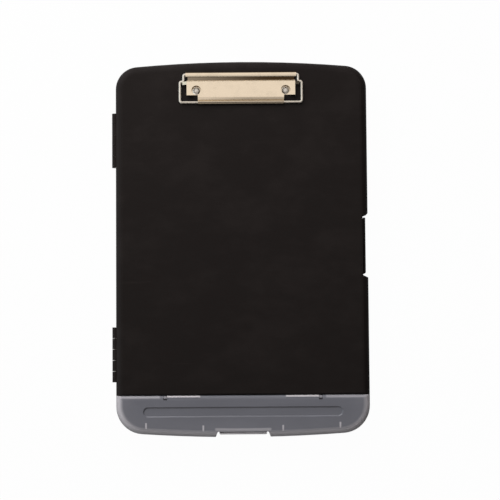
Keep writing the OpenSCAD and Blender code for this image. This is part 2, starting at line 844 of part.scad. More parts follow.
module rivet_washers() {
    color(steel) each_rivet() translate([0, 0, cover_top - cover_t - washer_t]) difference() {
        cylinder(r = washer_r, h = washer_t);
        translate([0, 0, -past]) cylinder(r = rivet_r + pin_fit, h = washer_t + 2 * past);
    }
}

// ---- Pieces --------------------------------------------------------------------------------

back_tray();
front_cover();
hinge_pin_upper();
hinge_pin_lower();
side_latch();
side_latch_pin();
pen_lid();
lid_pin_left();
lid_pin_right();
pen_latch();
pen_latch_pin();
clip_base();
clip_jaw();
clip_wire();
clip_rivets();
rivet_washers();
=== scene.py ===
"""Finish and studio for the storage clipboard box.

The case lies on its back round the origin of the frame: X across, Y towards the clip, Z up.
Sizes are in metres. Only the places on the pieces that shading follows are in millimetres.
"""

import math

import bpy
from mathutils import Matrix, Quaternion, Vector


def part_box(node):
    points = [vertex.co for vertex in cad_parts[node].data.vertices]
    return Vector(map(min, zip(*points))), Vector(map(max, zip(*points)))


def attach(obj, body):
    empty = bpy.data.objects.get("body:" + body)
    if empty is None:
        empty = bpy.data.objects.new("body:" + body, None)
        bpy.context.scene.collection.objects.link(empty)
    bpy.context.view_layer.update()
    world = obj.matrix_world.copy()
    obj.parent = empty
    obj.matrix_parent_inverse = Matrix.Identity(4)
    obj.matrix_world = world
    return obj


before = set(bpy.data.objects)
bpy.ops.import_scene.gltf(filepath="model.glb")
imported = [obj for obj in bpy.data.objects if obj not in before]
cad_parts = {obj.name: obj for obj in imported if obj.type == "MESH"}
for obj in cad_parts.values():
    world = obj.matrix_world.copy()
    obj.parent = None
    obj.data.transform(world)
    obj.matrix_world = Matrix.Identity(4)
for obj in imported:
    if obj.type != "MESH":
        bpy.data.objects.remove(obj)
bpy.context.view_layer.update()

bl_info = {
    "name": "Storage Clipboard Box",
    "version": (1, 0, 0),
    "blender": (4, 5, 0),
    "location": "View3D > Sidebar > Clipboard",
    "description": "Finishes a lidded clipboard box and sets up its studio",
    "category": "Object",
}

MM = 0.001
WHITE = (1.0, 1.0, 1.0, 1.0)

# Where a Mix node has its first input, its second input and its output, by what it mixes
MIX_SOCKETS = {"VECTOR": (4, 5, 1), "RGBA": (6, 7, 2)}

# Painted light and shade on the lid and the ears, in millimetres: the lid's rim, strips, ribs,
# pocket and barrels are painted paler, the groove's slopes get painted shade, and the ears' tops
# get painted light. A span is where a band starts and ends, a fade is where a shade is nothing and
# where it is full, and a share is how strong it gets.
HALF_WIDTH = 119.3
FOOT_CROWN = 178.0
FOOT_BOW = 1370.0
FOOT_CORNER = 26.0
LID_EDGE = 138.6
RIM_FADE = (7.5, 2.5)
# The rim's painted light, spread faintly further in
RIM_SPREAD_FADE = (24.0, 6.0)
RIM_SPREAD_SHARE = 0.05
BARREL_SPAN = (40.3, 71.3)
BARREL_FADE = (2.4, 1.2)
STRIP_SPAN = (78.0, 125.0)
STRIP_FADE = (3.4, 2.0)
STRIP_SHARE = 0.45
RIBS = (37.4, 91.0)
RIB_HALF = 0.8
RIB_SPAN = (5.2, 10.8)
POCKET_SPAN = (5.4, 8.4)
POCKET_FADE = (27.4, 25.4)
POCKET_SHARE = 0.6
GROOVE_SPAN = (18.5, 29.2)
GROOVE_FADE = (96.0, 95.0)
GROOVE_SHARE = 0.8
EAR_SPAN = (-144.0, -138.4)
EAR_FADE = (17.0, 18.0)

# Painted shade on the clip, and its levelled normals, in millimetres: up from the top of its base,
# forward or back from its pivot, and across from the middle, where the shares say how a painted
# shade grows from left to right. The sheet behind the jaw, the jaw's slope and lip front and the
# wire's front bar get painted shade, and the back of the base's roll a painted shadow. Flatness is
# how far a round top is shaded as if it were level, from 0 to 1.
PIVOT_Y = 164.8
PLATE_TOP = 26.4
PRESSED_UP = (0.2, 1.0)
SHEET_UP = (0.8, 0.0)
SHEET_FORWARD = (10.0, 6.5)
SHEET_ACROSS = (-80.0, 35.0)
SHEET_SHARES = (0.66, 0.99)
# Painted shadow along the back of the base's roll
ROLL_BACK = (0.9, 1.5)
SLOPE_SPAN = (22.6, 24.8)
SLOPE_ACROSS = (-45.0, 10.0)
SLOPE_SHARES = (0.05, 0.42)
LIP_FORWARD = (24.8, 27.4)
BAR_FORWARD = (26.2, 27.8)
FRONT_SHARES = (0.0, 0.6)
BASE_FLATNESS = 0.85
WIRE_FLATNESS = 0.55
RIVET_FLATNESS = 0.6

# Moulding marks: depths below the cover's face, the place on the lid, and the grid inside the case
COVER_DEPTH = 23 * MM
COVER_SHEET = 2.2 * MM
LID_GATE = (-2 * MM, -143.6 * MM)
MARK_SIDES = 32
MARK_COLUMNS = (-1, 0, 1)
MARK_ROWS = (-1.5, -0.5, 0.5, 1.5)

# Floor, key softbox and camera
FLOOR_SIZE = 8
PAPER_COLOUR = (0.47, 0.47, 0.47)
PAPER_WHITE = 0.98
KEY_PLACE = Vector((-0.305, 0.70, 0.61))
KEY_SIZE = 0.9
CAMERA_TARGET = Vector((0, -1.3 * MM, 25 * MM))
CAMERA_SHIFT = (0.016, -0.002)
SENSOR_WIDTH = 36

# The room, by the direction of a ray: the way its ceiling and the glow lie, and how far a ray
# leans that way, or to the right, where each shade starts and where it is full
ROOM_UP = Vector((0.25, 0.0, 0.97)).normalized()
WALL_FADE = (0.75, 0.35)
SLANT_ACROSS = (-0.8, 0.8)
GLOW_SIDE = Vector((-0.10, 0.34, 0.94)).normalized()
GLOW_FADE = (0.8, 0.97)
COOL_FADE = (-0.2, -0.7)
WARM_TONE = (1.0, 0.955, 0.91)
COOL_TONE = (0.88, 0.97, 1.0)


# ---- Settings ------------------------------------------------------------------------------


def colour(name, default, description):
    return bpy.props.FloatVectorProperty(
        name=name, description=description, subtype="COLOR", size=3, min=0, max=1, default=default
    )


def number(name, default, low, high, description):
    return bpy.props.FloatProperty(
        name=name, description=description, default=default, min=low, max=high
    )


def share(name, default, description):
    return number(name, default, 0, 1, description)


def length(name, default, low, high, description):
    return bpy.props.FloatProperty(
        name=name, description=description, default=default, min=low, max=high,
        subtype="DISTANCE", unit="LENGTH",
    )


def angle(name, default, description):
    return bpy.props.FloatProperty(
        name=name, description=description, default=default, subtype="ANGLE", unit="ROTATION"
    )


class PlasticSettings(bpy.types.PropertyGroup):
    cover_colour: colour("Cover", (0.0076, 0.0057, 0.0053), "Colour of the cover")
    tray_colour: colour("Tray", (0.0074, 0.0054, 0.0050), "Colour of the tray and side latch")
    # Painted light on top of the pen lid's ears, which are the tray's black plastic
    ear_light_colour: colour("Ears", (0.24, 0.23, 0.25), "Colour on top of the pen lid's ears")
    grain: length("Grain", 0.45 * MM, 0.1 * MM, 2 * MM, "Spacing of the moulded grain")
    roughness: share("Roughness", 0.46, "Roughness of the moulded faces")


class SmokeSettings(bpy.types.PropertyGroup):
    body_colour: colour("Body", (0.150, 0.150, 0.174), "Colour of the lid where it is thin")
    # Painted light: paler colours for the lid's thick places, its barrels' glint and the whole
    # latch
    edge_light_colour: colour("Edge", (0.56, 0.53, 0.56), "Colour of the lid where it is thick")
    barrel_glint_colour: colour("Barrel", (0.62, 0.58, 0.60), "Colour of the lid's hinge barrels")
    latch_light_colour: colour("Latch", (0.80, 0.76, 0.79), "Colour of the pen lid's latch")
    roughness: share("Roughness", 0.27, "Roughness of the smoke plastic")
    clearness: share("Clearness", 0.25, "Share of the light that passes")


class MetalSettings(bpy.types.PropertyGroup):
    nickel_colour: colour("Nickel", (0.92, 0.79, 0.62), "Colour of the clip's base and jaw")
    wire_colour: colour("Wire", (1.0, 0.92, 0.82), "Colour of the spring wire")
    rivet_colour: colour("Rivets", (1.0, 0.94, 0.87), "Colour of the rivets and washers")
    steel_colour: colour("Steel", (0.62, 0.57, 0.52), "Colour of the pins")
    # Painted shade on the base's sheet behind the jaw, the jaw's slope and lip, and the wire's
    # front bar
    painted_shade_colour: colour("Shaded", (0.045, 0.024, 0.009), "Colour of the clip's dark places")
    nickel_roughness: share("Nickel roughness", 0.2, "Roughness of the clip's base and jaw")
    wire_roughness: share("Wire roughness", 0.36, "Roughness of the spring wire")
    rivet_roughness: share("Rivet roughness", 0.4, "Roughness of the rivets and washers")
    steel_roughness: share("Steel roughness", 0.3, "Roughness of the pins")


class MarkSettings(bpy.types.PropertyGroup):
    ejector_radius: length(
        "Ejector mark", 3.5 * MM, 1 * MM, 8 * MM, "Radius of the mark that an ejector pin leaves"
    )
    gate_radius: length(
        "Gate mark", 0.9 * MM, 0.4 * MM, 3 * MM, "Radius of the mark where the plastic flowed in"
    )
    height: length(
        "Height", 0.15 * MM, 0.05 * MM, 0.5 * MM, "Height that a mark's rim stands proud"
    )
    pitch_x: length(
        "Pitch across", 80 * MM, 40 * MM, 100 * MM, "Distance between marks across the case"
    )
    pitch_y: length(
        "Pitch along", 75 * MM, 40 * MM, 90 * MM, "Distance between marks along the case"
    )


class StudioSettings(bpy.types.PropertyGroup):
    distance: length("Camera distance", 1.55, 0.5, 5, "Distance from the camera to the cover")
    tilt: angle("Tilt", math.radians(4), "Angle of the camera off the vertical")
    roll: angle("Roll", math.radians(-0.4), "Turn of the picture")
    lens: number("Lens", 118.3, 20, 300, "Focal length in millimetres on a 36 mm frame")
    floor_colour: colour("Floor", (0.45, 0.45, 0.45), "Colour of the floor in reflections")
    room_light: number("Room", 0.14, 0, 2, "Brightness of the room above its walls")
    wall_light: number("Walls", 0.75, 0, 2, "Brightness of the walls near the horizon")
    slant: share("Slant", 0.7, "How much brighter the left wall is than the right one")
    fill: share("Fill", 0.4, "Share of the room's light that falls on matte faces")
    glow: number("Glow", 0.95, 0, 3, "Brightness of the ceiling over the clip")
    key_power: number("Key", 15, 0, 200, "Power of the key softbox in watts")


# ---- Shader building -----------------------------------------------------------------------


class Graph:
    """Adds nodes to a tree and joins them, so that an effect reads from top to bottom."""

    def __init__(self, tree):
        self.tree = tree

    def node(self, kind, **inputs):
        made = self.tree.nodes.new(kind)
        for socket, value in inputs.items():
            self.feed(made, socket.replace("_", " "), value)
        return made

    def feed(self, node, socket, value):
        """Gives a node's input a value, or joins it to another node's output."""
        target = node.inputs[socket]
        if isinstance(value, bpy.types.NodeSocket):
            self.tree.links.new(value, target)
        else:
            target.default_value = value

    def maths(self, operation, first, second=None):
        made = self.tree.nodes.new("ShaderNodeMath")
        made.operation = operation
        self.feed(made, 0, first)
        if second is not None:
            self.feed(made, 1, second)
        return made.outputs[0]

    def total(self, value, *parts):
        """The value plus each part, given with its weight."""
        for part, weight in parts:
            value = self.maths("ADD", value, self.maths("MULTIPLY", part, weight))
        return value

    def dot(self, first, second):
        made = self.tree.nodes.new("ShaderNodeVectorMath")
        made.operation = "DOT_PRODUCT"
        self.feed(made, 0, first)
        self.feed(made, 1, second)
        return made.outputs["Value"]

    def ramp(self, value, start, end, before=0.0, after=1.0):
        """Changes smoothly from before to after while the value goes from start to end."""
        made = self.tree.nodes.new("ShaderNodeMapRange")
        made.interpolation_type = "SMOOTHSTEP"
        for socket, entry in enumerate((value, start, end, before, after)):
            self.feed(made, socket, entry)
        return made.outputs["Result"]

    def band(self, value, low, high, soft):
        """1 where the value lies between two numbers, 0 elsewhere, with soft ends."""
        rise = self.ramp(value, low - soft, low + soft)
        fall = self.ramp(value, high + soft, high - soft)
        return self.maths("MULTIPLY", rise, fall)

    def mix(self, kind, amount, first, second):
        """The first colour or vector, turned into the second one by an amount from 0 to 1."""
        made = self.tree.nodes.new("ShaderNodeMix")
        made.data_type = kind
        first_socket, second_socket, result = MIX_SOCKETS[kind]
        self.feed(made, 0, amount)
        self.feed(made, first_socket, first)
        self.feed(made, second_socket, second)
        return made.outputs[result]

    def blend(self, amount, first, second):
        return self.mix("RGBA", amount, first, second)

    def noise(self, place, scale, detail=2.0, roughness=0.5):
        made = self.node(
            "ShaderNodeTexNoise", Vector=place, Scale=scale, Detail=detail, Roughness=roughness
        )
        return made.outputs["Fac"]

    def stretched(self, place, scale):
        return self.node("ShaderNodeMapping", Vector=place, Scale=scale).outputs["Vector"]

    def place(self):
        return self.node("ShaderNodeTexCoord").outputs["Object"]

    def own_normal(self):
        """The normal in the piece's own directions, which stays as it is when a joint turns it."""
        return self.node("ShaderNodeTexCoord").outputs["Normal"]

    def split_mm(self, place):
        """The three coordinates of a place in millimetres."""
        split = self.node("ShaderNodeSeparateXYZ", Vector=place)
        return [self.maths("MULTIPLY", split.outputs[axis], 1 / MM) for axis in range(3)]

    def mix_shaders(self, amount, first, second):
        made = self.node("ShaderNodeMixShader", Fac=amount)
        self.tree.links.new(first.outputs[0], made.inputs[1])
        self.tree.links.new(second.outputs[0], made.inputs[2])
        return made.outputs[0]


def clear_graph(owner):
    """The graph of a material or a world, without the nodes that Blender starts it with."""
    owner.use_nodes = True
    owner.node_tree.nodes.clear()
    return Graph(owner.node_tree)


def rgba(values):
    return (*values, 1.0)


def toned(tint, gain, lift=0.0):
    """The tint made lighter or darker, as RGBA."""
    return rgba(channel * gain + lift for channel in tint)


def new_group(name, inputs, outputs):
    """An empty node group with its sockets, and the graph and the ends to build it with."""
    group = bpy.data.node_groups.new(name, "ShaderNodeTree")
    for socket, kind, default in inputs:
        made = group.interface.new_socket(socket, in_out="INPUT", socket_type=kind)
        if default is not None:
            made.default_value = default
    for socket, kind in outputs:
        group.interface.new_socket(socket, in_out="OUTPUT", socket_type=kind)
    start = group.nodes.new("NodeGroupInput").outputs
    end = group.nodes.new("NodeGroupOutput").inputs
    return group, Graph(group), start, end


def moulded_grain(name):
    """Spark-eroded grain: fine pits over a slow waviness, with smudges from handling."""
    group, g, start, end = new_group(
        name,
        [
            ("Vector", "NodeSocketVector", None),
            ("Spacing", "NodeSocketFloat", 0.45 * MM),
            ("Colour", "NodeSocketColor", (0.01, 0.01, 0.01, 1)),
            ("Worn colour", "NodeSocketColor", (0.02, 0.02, 0.02, 1)),
            ("Roughness", "NodeSocketFloat", 0.5),
        ],
        [
            ("Colour", "NodeSocketColor"),
            ("Roughness", "NodeSocketFloat"),
            ("Height", "NodeSocketFloat"),
        ],
    )
    place = start["Vector"]
    pits_scale = g.maths("DIVIDE", 1.0, start["Spacing"])
    pits = g.noise(place, scale=pits_scale, detail=3.0, roughness=0.6)
    waves = g.noise(place, scale=9.0)
    smudges = g.noise(g.stretched(place, (1.0, 1.6, 1.0)), scale=22.0, detail=4.0, roughness=0.62)
    scuffs = g.noise(g.stretched(place, (16.0, 260.0, 60.0)), scale=1.0, detail=3.0, roughness=0.7)
    deep_pits = g.ramp(pits, start=0.35, end=0.75)
    all_pits = g.ramp(pits, start=0.3, end=0.7)
    smudged = g.ramp(smudges, start=0.42, end=0.72)
    scuffed = g.ramp(scuffs, start=0.66, end=0.78)
    wear = g.total(0.0, (smudged, 0.3), (deep_pits, 0.35), (scuffed, 0.35))
    g.tree.links.new(g.blend(wear, start["Colour"], start["Worn colour"]), end["Colour"])
    rough = g.total(start["Roughness"], (smudged, -0.05), (scuffed, -0.06), (all_pits, 0.06))
    g.tree.links.new(rough, end["Roughness"])
    g.tree.links.new(g.total(pits, (waves, 0.6)), end["Height"])
    return group


def turned_edge(name):
    """Mask that is 0 on a face looking straight up or down and 1 where it turns to a side."""
    group, g, start, end = new_group(
        name,
        [("Normal", "NodeSocketVector", None)],
        [("Mask", "NodeSocketFloat")],
    )
    split = g.node("ShaderNodeSeparateXYZ", Vector=start["Normal"])
    upright = g.maths("ABSOLUTE", split.outputs["Z"])
    g.tree.links.new(g.ramp(upright, start=0.99, end=0.45), end["Mask"])
    return group


def lid_places(name):
    """Masks for painted light on the lid's rim, strips, ribs, pocket and barrels, and for painted
    shade in its groove.
    """
    group, g, start, end = new_group(
        name,
        [("Vector", "NodeSocketVector", None)],
        [
            ("Rim", "NodeSocketFloat"),
            ("Inner", "NodeSocketFloat"),
            ("Barrel", "NodeSocketFloat"),
            ("Groove", "NodeSocketFloat"),
        ],
    )
    x, y, _ = g.split_mm(start["Vector"])
    across = g.maths("ABSOLUTE", x)
    from_edge = g.maths("SUBTRACT", -LID_EDGE, y)
    sag = g.maths("DIVIDE", g.maths("MULTIPLY", x, x), 2 * FOOT_BOW)
    from_foot = g.maths("SUBTRACT", g.maths("ADD", y, FOOT_CROWN), sag)

    # How far a place lies inside the lid's outline, with its round corners
    past_x = g.maths("MAXIMUM", g.maths("SUBTRACT", across, HALF_WIDTH - FOOT_CORNER), 0.0)
    past_y = g.maths("MAXIMUM", g.maths("SUBTRACT", FOOT_CORNER, from_foot), 0.0)
    square_x = g.maths("MULTIPLY", past_x, past_x)
    square_y = g.maths("MULTIPLY", past_y, past_y)
    past_corner = g.maths("SQRT", g.maths("ADD", square_x, square_y))
    inset = g.maths("SUBTRACT", FOOT_CORNER, past_corner)

    # Painted light: the rim and the strips by the hinge are paler, for the light that the thick
    # plastic catches
    rim = g.maths("ADD", g.ramp(inset, *RIM_FADE), g.ramp(inset, *RIM_SPREAD_FADE, 0.0, RIM_SPREAD_SHARE))
    strip = g.maths(
        "MULTIPLY",
        g.band(across, *STRIP_SPAN, soft=1.0),
        g.ramp(from_edge, *STRIP_FADE, 0.0, STRIP_SHARE),
    )
    rim = g.maths("MAXIMUM", rim, strip)
    g.tree.links.new(g.maths("MINIMUM", rim, 1.0), end["Rim"])

    # Painted light on the ribs under the panel and on the latch pocket's wall
    ribs = [g.band(across, middle - RIB_HALF, middle + RIB_HALF, soft=0.3) for middle in RIBS]
    rib = g.maths("MAXIMUM", *ribs)
    rib = g.maths("MULTIPLY", rib, g.band(from_foot, *RIB_SPAN, soft=0.3))
    pocket = g.maths(
        "MULTIPLY",
        g.band(from_foot, *POCKET_SPAN, soft=0.8),
        g.ramp(across, *POCKET_FADE, 0.0, POCKET_SHARE),
    )
    g.tree.links.new(g.maths("MAXIMUM", rib, pocket), end["Inner"])

    # Painted glint on the hinge barrels
    barrel = g.band(across, *BARREL_SPAN, soft=0.6)
    barrel = g.maths("MULTIPLY", barrel, g.ramp(from_edge, *BARREL_FADE))
    g.tree.links.new(barrel, end["Barrel"])

    # Where the groove's slopes get painted shade
    groove = g.band(from_foot, *GROOVE_SPAN, soft=0.2)
    groove = g.maths("MULTIPLY", groove, g.ramp(across, *GROOVE_FADE))
    g.tree.links.new(groove, end["Groove"])
    return group


def drawn_metal(name):
    """Fine draw lines along X, slow dents and a faint bloom in the plating."""
    group, g, start, end = new_group(
        name,
        [
            ("Vector", "NodeSocketVector", None),
            ("Colour", "NodeSocketColor", (0.8, 0.8, 0.8, 1)),
            ("Bloom colour", "NodeSocketColor", (0.6, 0.6, 0.6, 1)),
            ("Roughness", "NodeSocketFloat", 0.2),
        ],
        [
            ("Colour", "NodeSocketColor"),
            ("Roughness", "NodeSocketFloat"),
            ("Height", "NodeSocketFloat"),
        ],
    )
    place = start["Vector"]
    drawn = g.stretched(place, (35.0, 2600.0, 2600.0))
    lines = g.noise(drawn, scale=1.0, detail=3.0, roughness=0.6)
    dents = g.noise(g.stretched(place, (30.0, 60.0, 60.0)), scale=1.0)
    bloom = g.noise(place, scale=95.0, detail=4.0, roughness=0.6)
    bloomed = g.ramp(bloom, start=0.45, end=0.75, after=0.35)
    g.tree.links.new(g.blend(bloomed, start["Colour"], start["Bloom colour"]), end["Colour"])
    rough = g.total(start["Roughness"], (lines, 0.1), (bloomed, 0.15))
    g.tree.links.new(rough, end["Roughness"])
    g.tree.links.new(g.total(dents, (lines, 0.04)), end["Height"])
    return group


GROUPS = {
    "Moulded grain": moulded_grain,
    "Turned edge": turned_edge,
    "Lid places": lid_places,
    "Drawn metal": drawn_metal,
}


def new_material(name):
    """A material with its graph and its surface, still plain."""
    material = bpy.data.materials.new(name)
    g = clear_graph(material)
    surface = g.node("ShaderNodeBsdfPrincipled")
    g.node("ShaderNodeOutputMaterial", Surface=surface.outputs["BSDF"])
    return material, g, surface


def use_group(g, name, **inputs):
    """Adds a node for one of the groups, which is built when it is first used."""
    made = g.tree.nodes.new("ShaderNodeGroup")
    made.node_tree = bpy.data.node_groups.get(name) or GROUPS[name](name)
    for socket, value in inputs.items():
        g.feed(made, socket.replace("_", " "), value)
    return made.outputs


def bump(g, surface, height, strength, distance):
    made = g.node("ShaderNodeBump", Strength=strength, Distance=distance, Height=height)
    g.tree.links.new(made.outputs["Normal"], surface.inputs["Normal"])


def levelled(g, amount):
    """The surface's normal, turned toward the piece's own upright by an amount from 0 to 1."""
    upright = g.node("ShaderNodeVectorTransform", Vector=(0, 0, 1))
    upright.vector_type = "NORMAL"
    upright.convert_from = "OBJECT"
    upright.convert_to = "WORLD"
    normal = g.node("ShaderNodeNewGeometry").outputs["Normal"]
    return g.mix("VECTOR", amount, normal, upright.outputs["Vector"])


def black_plastic(name, tint, settings, ears=None):
    """Matte black moulding, a shade lighter where its edges are rubbed; ears is painted light on
    top of the pen lid's ears.
    """
    material, g, surface = new_material(name)
    place = g.place()
    edge = use_group(g, "Turned edge", Normal=g.own_normal())["Mask"]
    worn = toned(tint, gain=1.9, lift=0.002)
    grain = use_group(
        g, "Moulded grain", Vector=place, Spacing=settings.grain, Colour=rgba(tint),
        Worn_colour=worn, Roughness=settings.roughness,
    )
    rubbed = g.maths("MULTIPLY", edge, 0.1)
    shade = g.blend(rubbed, grain["Colour"], worn)
    if ears:
        # Painted light on top of the pen lid's ears
        _, along, up = g.split_mm(place)
        ear = g.maths("MULTIPLY", g.band(along, *EAR_SPAN, soft=0.1), g.ramp(up, *EAR_FADE))
        shade = g.blend(ear, shade, rgba(ears))
    g.feed(surface, "Base Color", shade)
    g.feed(surface, "Roughness", grain["Roughness"])
    g.feed(surface, "Specular IOR Level", 0.12)
    bump(g, surface, grain["Height"], strength=0.12, distance=0.06 * MM)
    return material


def smoke_plastic(name, tint, edge_light_tint, settings):
    """Smoke grey plastic, dark where it is a thin panel, with painted light on its thick places and
    painted shade on its groove's slopes.
    """
    material, g, surface = new_material(name)
    place = g.place()
    turned = use_group(g, "Turned edge", Normal=g.own_normal())["Mask"]
    places = use_group(g, "Lid places", Vector=place)
    cloud = g.noise(g.stretched(place, (1.0, 2.5, 2.5)), scale=16.0, detail=3.0, roughness=0.6)
    scuffs = g.noise(g.stretched(place, (18.0, 300.0, 60.0)), scale=1.0, detail=3.0, roughness=0.7)
    clouded = g.ramp(cloud, start=0.35, end=0.7)
    scuffed = g.ramp(scuffs, start=0.5, end=0.75)
    shade = g.blend(clouded, rgba(tint), toned(tint, gain=1.1))
    # Painted light on the thick rim, strips, ribs and pocket, and a painted glint on the barrels
    edge = g.maths("MAXIMUM", places["Rim"], places["Inner"])
    shade = g.blend(edge, shade, rgba(edge_light_tint))
    shade = g.blend(places["Barrel"], shade, rgba(settings.barrel_glint_colour))
    # Painted shade on the groove's slopes
    slope = g.maths("MULTIPLY", g.maths("MULTIPLY", turned, places["Groove"]), GROOVE_SHARE)
    shade = g.blend(slope, shade, toned(tint, gain=0.4))
    g.feed(surface, "Base Color", shade)
    g.feed(surface, "Roughness", g.total(settings.roughness, (scuffed, 0.03), (cloud, 0.06)))
    g.feed(surface, "Transmission Weight", settings.clearness)
    g.feed(surface, "IOR", 1.49)
    g.feed(surface, "Specular IOR Level", 0.35)
    bump(g, surface, g.noise(place, scale=60.0, detail=3.0), strength=0.05, distance=0.3 * MM)
    return material


def plated_metal(name, tint, roughness, shaded=None, where=None):
    """Plated or drawn steel; where says how much painted shade, in its shaded colour, each place
    shows.
    """
    material, g, surface = new_material(name)
    place = g.place()
    metal = use_group(
        g, "Drawn metal", Vector=place, Colour=rgba(tint), Bloom_colour=toned(tint, gain=0.94),
        Roughness=roughness,
    )
    shade = metal["Colour"]
    if where:
        # Painted shade where the where function gives it
        shade = g.blend(where(g, *g.split_mm(place)), shade, rgba(shaded))
    g.feed(surface, "Base Color", shade)
    g.feed(surface, "Metallic", 1.0)
    g.feed(surface, "Roughness", metal["Roughness"])
    bump(g, surface, metal["Height"], strength=0.06, distance=0.12 * MM)
    return material


def under_jaw(g, x, y, z):
    """Painted shade on the base's sheet behind the rivets, darker to the right, and a painted
    shadow on the back of its roll.
    """
    up = g.maths("SUBTRACT", z, PLATE_TOP)
    forward = g.maths("SUBTRACT", PIVOT_Y, y)
    back = g.maths("SUBTRACT", y, PIVOT_Y)
    sheet = g.maths("MULTIPLY", g.ramp(up, *SHEET_UP), g.ramp(x, *SHEET_ACROSS, *SHEET_SHARES))
    sheet = g.maths("MULTIPLY", sheet, g.ramp(forward, *SHEET_FORWARD))
    return g.maths("MAXIMUM", sheet, g.ramp(back, *ROLL_BACK))


def lip_slope(g, x, y, z):
    """Painted shade on the slope between the jaw's flat and its lip, darker to the right, and on
    the lip's front.
    """
    forward = g.maths("SUBTRACT", PIVOT_Y, y)
    slope = g.band(forward, *SLOPE_SPAN, soft=0.5)
    slope = g.maths("MULTIPLY", slope, g.ramp(x, *SLOPE_ACROSS, *SLOPE_SHARES))
    return g.maths("MAXIMUM", slope, g.ramp(forward, *LIP_FORWARD, *FRONT_SHARES))


def bar_front(g, x, y, z):
    """Painted shade on the front of the wire's front bar."""
    return g.ramp(g.maths("SUBTRACT", PIVOT_Y, y), *BAR_FORWARD, *FRONT_SHARES)


def press_flat(material, amount):
    """Shades what stands above the base's sheet as if its top were pressed flat."""
    g = Graph(material.node_tree)
    _, _, z = g.split_mm(g.place())
    up = g.maths("SUBTRACT", z, PLATE_TOP)
    normal = levelled(g, g.ramp(up, *PRESSED_UP, 0.0, amount))
    relief = next(node for node in g.tree.nodes if node.bl_idname == "ShaderNodeBump")
    g.feed(relief, "Normal", normal)


def finish_node(node, material):
    """Gives a CAD node its material."""
    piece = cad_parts[node]
    if not piece.material_slots:
        piece.data.materials.append(material)
    for slot in piece.material_slots:
        slot.material = material


def round_marks(name, places, radius, rise):
    """Low round marks with a dished middle, in one object; rise is negative where they hang."""
    piece = bpy.data.objects.new(name, bpy.data.meshes.new(name))
    bpy.context.scene.collection.objects.link(piece)
    bpy.ops.object.select_all(action="DESELECT")
    piece.select_set(True)
    bpy.context.view_layer.objects.active = piece
    bpy.ops.object.mode_set(mode="EDIT")
    sunk = rise / 2
    ring = radius / 8
    for place in places:
        bpy.ops.mesh.primitive_circle_add(
            vertices=MARK_SIDES, radius=radius, fill_type="NGON",
            location=place - Vector((0, 0, sunk)),
        )
    bpy.ops.mesh.select_all(action="SELECT")
    bpy.ops.mesh.extrude_region_move(TRANSFORM_OT_translate={"value": (0, 0, sunk + rise)})
    bpy.ops.mesh.inset(thickness=ring)
    bpy.ops.mesh.inset(thickness=ring, depth=-abs(sunk))
    bpy.ops.mesh.select_all(action="SELECT")
    bpy.ops.mesh.normals_make_consistent(inside=False)
    bpy.ops.object.mode_set(mode="OBJECT")
    return piece


# ---- Operators -----------------------------------------------------------------------------


class CLIPBOARD_OT_case(bpy.types.Operator):
    """Finish the tray, the cover and the side latch in black plastic"""

    bl_idname = "clipboard.case"
    bl_label = "Case"

    def execute(self, context):
        settings = context.scene.clipboard_plastic
        cover = black_plastic("Cover plastic", settings.cover_colour, settings)
        tray = black_plastic("Tray plastic", settings.tray_colour, settings, settings.ear_light_colour)
        finish_node("front_cover", cover)
        finish_node("back_tray", tray)
        finish_node("side_latch", tray)
        return {"FINISHED"}


class CLIPBOARD_OT_pen_box(bpy.types.Operator):
    """Finish the pen lid and its latch in smoke plastic"""

    bl_idname = "clipboard.pen_box"
    bl_label = "Pen lid and latch"

    def execute(self, context):
        settings = context.scene.clipboard_smoke
        body = settings.body_colour
        edge = settings.edge_light_colour
        latch = settings.latch_light_colour
        # The lid gets painted light on its thick places; the latch is painted pale all over, as lit
        # thick plastic
        finish_node("pen_lid", smoke_plastic("Lid plastic", body, edge, settings))
        finish_node("pen_latch", smoke_plastic("Latch plastic", latch, latch, settings))
        return {"FINISHED"}


class CLIPBOARD_OT_clip(bpy.types.Operator):
    """Finish the clip's base, jaw and wire in nickel plate"""

    bl_idname = "clipboard.clip"
    bl_label = "Clip"

    def execute(self, context):
        settings = context.scene.clipboard_metal
        nickel = settings.nickel_colour
        shaded = settings.painted_shade_colour
        rough = settings.nickel_roughness
        # The base, the jaw and the wire get painted shade where under_jaw, lip_slope and bar_front
        # say
        base = plated_metal("Base plate", nickel, rough, shaded, under_jaw)
        jaw = plated_metal("Jaw plate", nickel, rough, shaded, lip_slope)
        wire = plated_metal(
            "Wire plate", settings.wire_colour, settings.wire_roughness, shaded, bar_front
        )
        press_flat(base, BASE_FLATNESS)
        press_flat(wire, WIRE_FLATNESS)
        finish_node("clip_base", base)
        finish_node("clip_jaw", jaw)
        finish_node("clip_wire", wire)
        return {"FINISHED"}


class CLIPBOARD_OT_pins(bpy.types.Operator):
    """Finish the hinge pins, latch pins, rivets and washers in plain steel"""

    bl_idname = "clipboard.pins"
    bl_label = "Pins and rivets"

    def execute(self, context):
        settings = context.scene.clipboard_metal
        steel = plated_metal("Pin steel", settings.steel_colour, settings.steel_roughness)
        rivet = plated_metal("Rivet steel", settings.rivet_colour, settings.rivet_roughness)
        press_flat(rivet, RIVET_FLATNESS)
        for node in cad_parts:
            if "pin" in node:
                finish_node(node, steel)
            elif "rivet" in node:
                finish_node(node, rivet)
        return {"FINISHED"}


